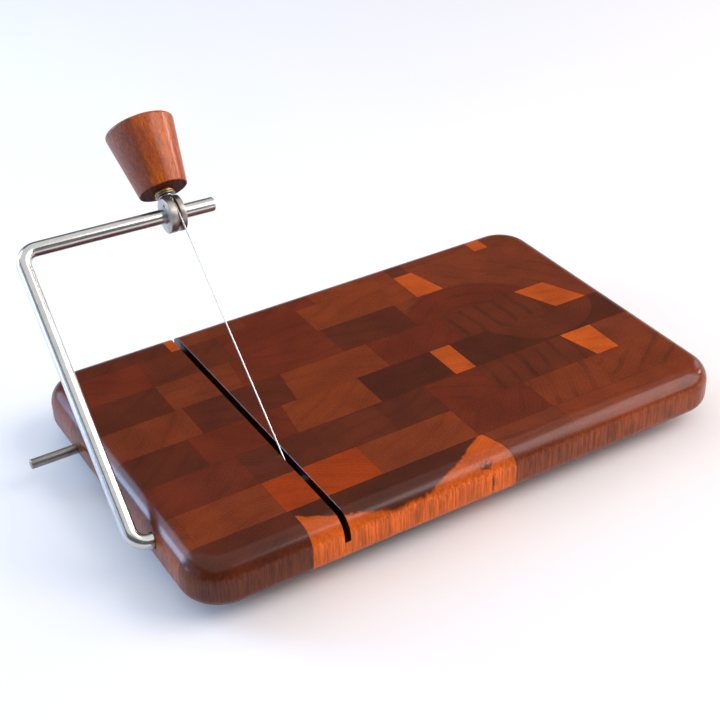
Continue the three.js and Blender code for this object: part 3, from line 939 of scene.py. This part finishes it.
def make_hub(steel):
    """The grooved collar, turned about the upper arm, with the stud's hole and a pin hole."""
    bore = ROD_RADIUS + 0.15 * MM
    rim_ease, bore_ease, lip_ease, root_ease = 0.55 * MM, 0.25 * MM, 0.2 * MM, 0.5 * MM
    wall_lean = 0.05 * MM
    left, right = GROOVE_X - GROOVE_HALF, GROOVE_X + GROOVE_HALF
    section = filleted([
        (bore, -HUB_HALF, bore_ease), (HUB_RADIUS, -HUB_HALF, rim_ease),
        (HUB_RADIUS, left, lip_ease), (GROOVE_RADIUS, left + wall_lean, root_ease),
        (GROOVE_RADIUS, right - wall_lean, root_ease), (HUB_RADIUS, right, lip_ease),
        (HUB_RADIUS, HUB_HALF, rim_ease), (bore, HUB_HALF, bore_ease)], 0, closed=True)
    hub = lathe("hub", section, 96, closed=True)
    hub.data.transform(Matrix.Rotation(-math.pi / 2, 4, "Z"))
    hub.matrix_world = HUB_SPACE
    stud_hole = bar("stud_hole", Vector((0, 0, 0)), Vector((0, 20 * MM, 0)),
                    STUD_RADIUS + RUNNING_GAP, 48, CLAMP_SPACE)
    combine(hub, stud_hole, "DIFFERENCE")
    pin_radius, pin_depth, pin_out, pin_angle = 0.95 * MM, 3.5 * MM, 5.9 * MM, 0.9
    spot = Vector((-HUB_HALF, pin_out * math.cos(pin_angle), pin_out * math.sin(pin_angle)))
    pin_hole = bar("pin_hole", spot - Vector((MM, 0, 0)), spot + Vector((pin_depth, 0, 0)),
                   pin_radius, 32, HUB_SPACE)
    combine(hub, pin_hole, "DIFFERENCE")
    dress(hub, steel, "bow", "tension_hub", 30)


# ---------- clamp: local Y out along the stud ----------
def make_stud(zinc):
    """The stud with a helical V thread that fades out at both ends, where it narrows."""
    sides, rows_per_turn = 40, 12
    fade, end_size = 1.2 * MM, 0.72
    length = STUD_END - STUD_START
    rows = int(length / THREAD_PITCH * rows_per_turn)
    vertices = [(0, STUD_START, 0)]
    for row in range(rows + 1):
        height = STUD_START + length * row / rows
        taper = min(1, (height - STUD_START) / fade + 0.25, (STUD_END - height) / fade + 0.25)
        outer = STUD_RADIUS * (end_size + (1 - end_size) * taper)
        for side in range(sides):
            phase = (height / THREAD_PITCH - side / sides) % 1
            crest = min(1, 2.4 * abs(phase - 0.5))
            radius = outer - THREAD_DEPTH * (1 - crest) * taper
            angle = 2 * math.pi * side / sides
            vertices.append((radius * math.cos(angle), height, radius * math.sin(angle)))
    vertices.append((0, STUD_END, 0))
    faces = [[1 + row * sides + side, 1 + row * sides + (side + 1) % sides,
              1 + (row + 1) * sides + (side + 1) % sides, 1 + (row + 1) * sides + side]
             for row in range(rows) for side in range(sides)]
    last = 1 + rows * sides
    faces += [[0, 1 + (side + 1) % sides, 1 + side] for side in range(sides)]
    faces += [[len(vertices) - 1, last + side, last + (side + 1) % sides] for side in range(sides)]
    stud = make_object("stud", vertices, faces, CLAMP_SPACE)
    dress(stud, zinc, "bow", "clamp_stud", 50)


def make_washer(steel):
    inner, outer = STUD_RADIUS + 0.2 * MM, 5.6 * MM
    section = filleted([(inner, WASHER_START), (outer, WASHER_START), (outer, WASHER_END),
                        (inner, WASHER_END)], 0.25 * MM, closed=True)
    washer = lathe("washer", section, 64, CLAMP_SPACE, closed=True)
    dress(washer, steel, "washer", "clamp_washer", 50)


def make_insert(brass):
    """The brass insert: a flange under the knob and a barrel inside it."""
    inner, flange, barrel = STUD_RADIUS + RUNNING_GAP, 5.4 * MM, 4.75 * MM
    flange_end = KNOB_START - RUNNING_GAP
    section = filleted([(inner, INSERT_START, 0.5 * MM), (flange, INSERT_START, 0.45 * MM),
                        (flange, flange_end, 0.15 * MM), (barrel, flange_end, 0),
                        (barrel, INSERT_END), (inner, INSERT_END)], 0.2 * MM, closed=True)
    insert = lathe("insert", section, 64, CLAMP_SPACE, closed=True)
    dress(insert, brass, "knob", "threaded_insert", 50)


def make_knob(side_wood, end_wood):
    """The tapered wooden knob, with end grain on its two ends and in the bottom of its hole."""
    hole, hole_end = 4.85 * MM, INSERT_END + RUNNING_GAP
    small, large = 13.5 * MM, 19.5 * MM
    crown = 0.5 * MM
    end_facing = 0.85
    section = filleted([(0, hole_end), (hole, hole_end, 0), (hole, KNOB_START, 0.3 * MM),
                        (small, KNOB_START, 0.7 * MM), (large, KNOB_END - crown, 1.8 * MM),
                        (large * 0.5, KNOB_END - 0.1 * MM, 6 * MM), (0, KNOB_END)],
                       0.5 * MM, steps=6)
    knob = lathe("knob_wood", section, 96, CLAMP_SPACE)
    dress(knob, side_wood, "knob", "knob")
    knob.data.materials.append(end_wood)
    for face in knob.data.polygons:
        face.material_index = int(abs(face.normal.y) > end_facing)


# ---------- camera, light and floor ----------
CAMERA_PLACE = (-0.34895, -0.57407, 0.47839)
CAMERA_YAW, CAMERA_PITCH, CAMERA_ROLL = 30.391, 33.536, -1.6538
CAMERA_LENS = 72.767
WORLD_DIM = 0.14


def make_camera():
    """The camera: yaw turns it from +Y towards +X, pitch is how far it looks down."""
    data = bpy.data.cameras.new("camera")
    data.sensor_width = 36
    data.lens = CAMERA_LENS
    data.clip_start = 0.01
    camera = bpy.data.objects.new("camera", data)
    bpy.context.scene.collection.objects.link(camera)
    yaw, pitch, roll = [math.radians(turn) for turn in (CAMERA_YAW, CAMERA_PITCH, CAMERA_ROLL)]
    ahead = Vector((math.sin(yaw) * math.cos(pitch), math.cos(yaw) * math.cos(pitch),
                    -math.sin(pitch)))
    right = Vector((math.cos(yaw), -math.sin(yaw), 0))
    up = right.cross(ahead)
    across = right * math.cos(roll) + up * math.sin(roll)
    upward = up * math.cos(roll) - right * math.sin(roll)
    turn = Matrix((across, upward, -ahead)).transposed()
    camera.matrix_world = Matrix.Translation(CAMERA_PLACE) @ turn.to_4x4()
    bpy.context.scene.camera = camera


def softbox(name, place, target, size, power, colour, spread=180):
    """A rectangular light; a small spread in degrees keeps its beam on the target."""
    data = bpy.data.lights.new(name, "AREA")
    data.shape = "RECTANGLE"
    data.size, data.size_y = size
    data.energy = power
    data.color = colour
    data.spread = math.radians(spread)
    light = bpy.data.objects.new(name, data)
    bpy.context.scene.collection.objects.link(light)
    light.location = place
    light.rotation_euler = (Vector(target) - Vector(place)).to_track_quat("-Z", "Y").to_euler()


def make_studio():
    """Soft lights, a world that is bright only to the camera, and the pale floor."""
    softbox("overhead", (0, 0, 5), (0, 0, 0), (9, 9), 210, (1, 0.98, 0.95))
    softbox("key", (1.25, -0.85, 1.1), (0, 0, 0.03), (1.3, 1.5), 32, (1, 0.87, 0.86))
    softbox("back_window", (-0.85, 1.1, 0.7), (-0.1, 0, 0.03), (0.6, 1.0), 11, (0.50, 0.68, 1))
    softbox("left_window", (-1.0, 0.85, 0.37), (-0.16, 0, 0.02), (0.35, 0.45), 8, (0.42, 0.66, 1))
    softbox("side_window", (-1.4, 0.3, 0.45), (-0.1, 0, 0.05), (1.5, 0.9), 4, (0.60, 0.70, 1))
    softbox("right_window", (1.6, 0.42, 0.5), (0.15, -0.08, 0.02), (0.4, 0.5), 2, (0.8, 0.88, 1))
    knob = middle("knob")
    softbox("knob_key", (1.16, 0.045, 0.456), knob, (0.4, 0.4), 0.12, (1, 0.78, 0.66), 16)
    softbox("knob_window", (-1.19, 0.53, 0.31), knob, (0.5, 0.5), 0.08, (0.45, 0.6, 1), 16)
    world = bpy.data.worlds.new("studio")
    world.use_nodes = True
    nodes = world.node_tree.nodes
    seen = nodes.new("ShaderNodeLightPath").outputs["Is Camera Ray"]
    brightness = nodes.new("ShaderNodeMapRange")
    brightness.inputs["To Min"].default_value = WORLD_DIM
    brightness.inputs["To Max"].default_value = 1.0
    world.node_tree.links.new(seen, brightness.inputs["Value"])
    world.node_tree.links.new(brightness.outputs[0], nodes["Background"].inputs["Strength"])
    nodes["Background"].inputs["Color"].default_value = (0.94, 0.96, 1, 1)
    bpy.context.scene.world = world
    bpy.context.scene.view_settings.view_transform = "Standard"
    shader = Shader("pale_floor")
    cloud = shader.noise(shader.place(), 3.0)
    shader.set(Base_Color=shader.mix(cloud, (0.86, 0.86, 0.86, 1), (0.9, 0.9, 0.9, 1)))
    shader.set(Roughness=0.6)
    reach = 3.0
    floor = make_object("floor", [(-reach, -reach, FLOOR_Z), (reach, -reach, FLOOR_Z),
                                  (reach, reach, FLOOR_Z), (-reach, reach, FLOOR_Z)],
                        [[0, 1, 2, 3]])
    floor.data.materials.append(shader.material)


# ---------- everything ----------
make_camera()
make_studio()
make_board()

rod_steel = metal("polished_rod", (0.62, 0.63, 0.62), 0.22, DRAWN_ALONG_X, grain=0.3,
                  scratches=0.3)
# A darker copy of the steel for the stop pin and the washer: painted shade for parts that sit in
# shade.
painted_shade_steel = metal("painted_shade_steel", (0.30, 0.28, 0.26), 0.34, DRAWN_ALONG_X, tint=(0.16, 0.13, 0.11))
hub_steel = metal("turned_hub", (0.44, 0.42, 0.39), 0.4, TURNED_ABOUT_X, tint=(0.24, 0.19, 0.14))
wire_steel = metal("drawn_wire", (0.60, 0.60, 0.61), 0.25, EVEN)
zinc_steel = metal("zinc_plate", (0.36, 0.34, 0.33), 0.36, EVEN, tint=(0.24, 0.20, 0.16))
brass = metal("brass", (0.62, 0.40, 0.13), 0.3, TURNED_ABOUT_Y, tint=(0.30, 0.17, 0.05))

make_stop_pin(painted_shade_steel)
make_feet(rubber(), zinc_steel)
make_bow_rod(rod_steel)
make_wire(wire_steel, brass)
make_wire_eye(wire_steel)
make_hub(hub_steel)
make_stud(zinc_steel)
make_washer(painted_shade_steel)
make_insert(brass)
make_knob(knob_side(), knob_end())
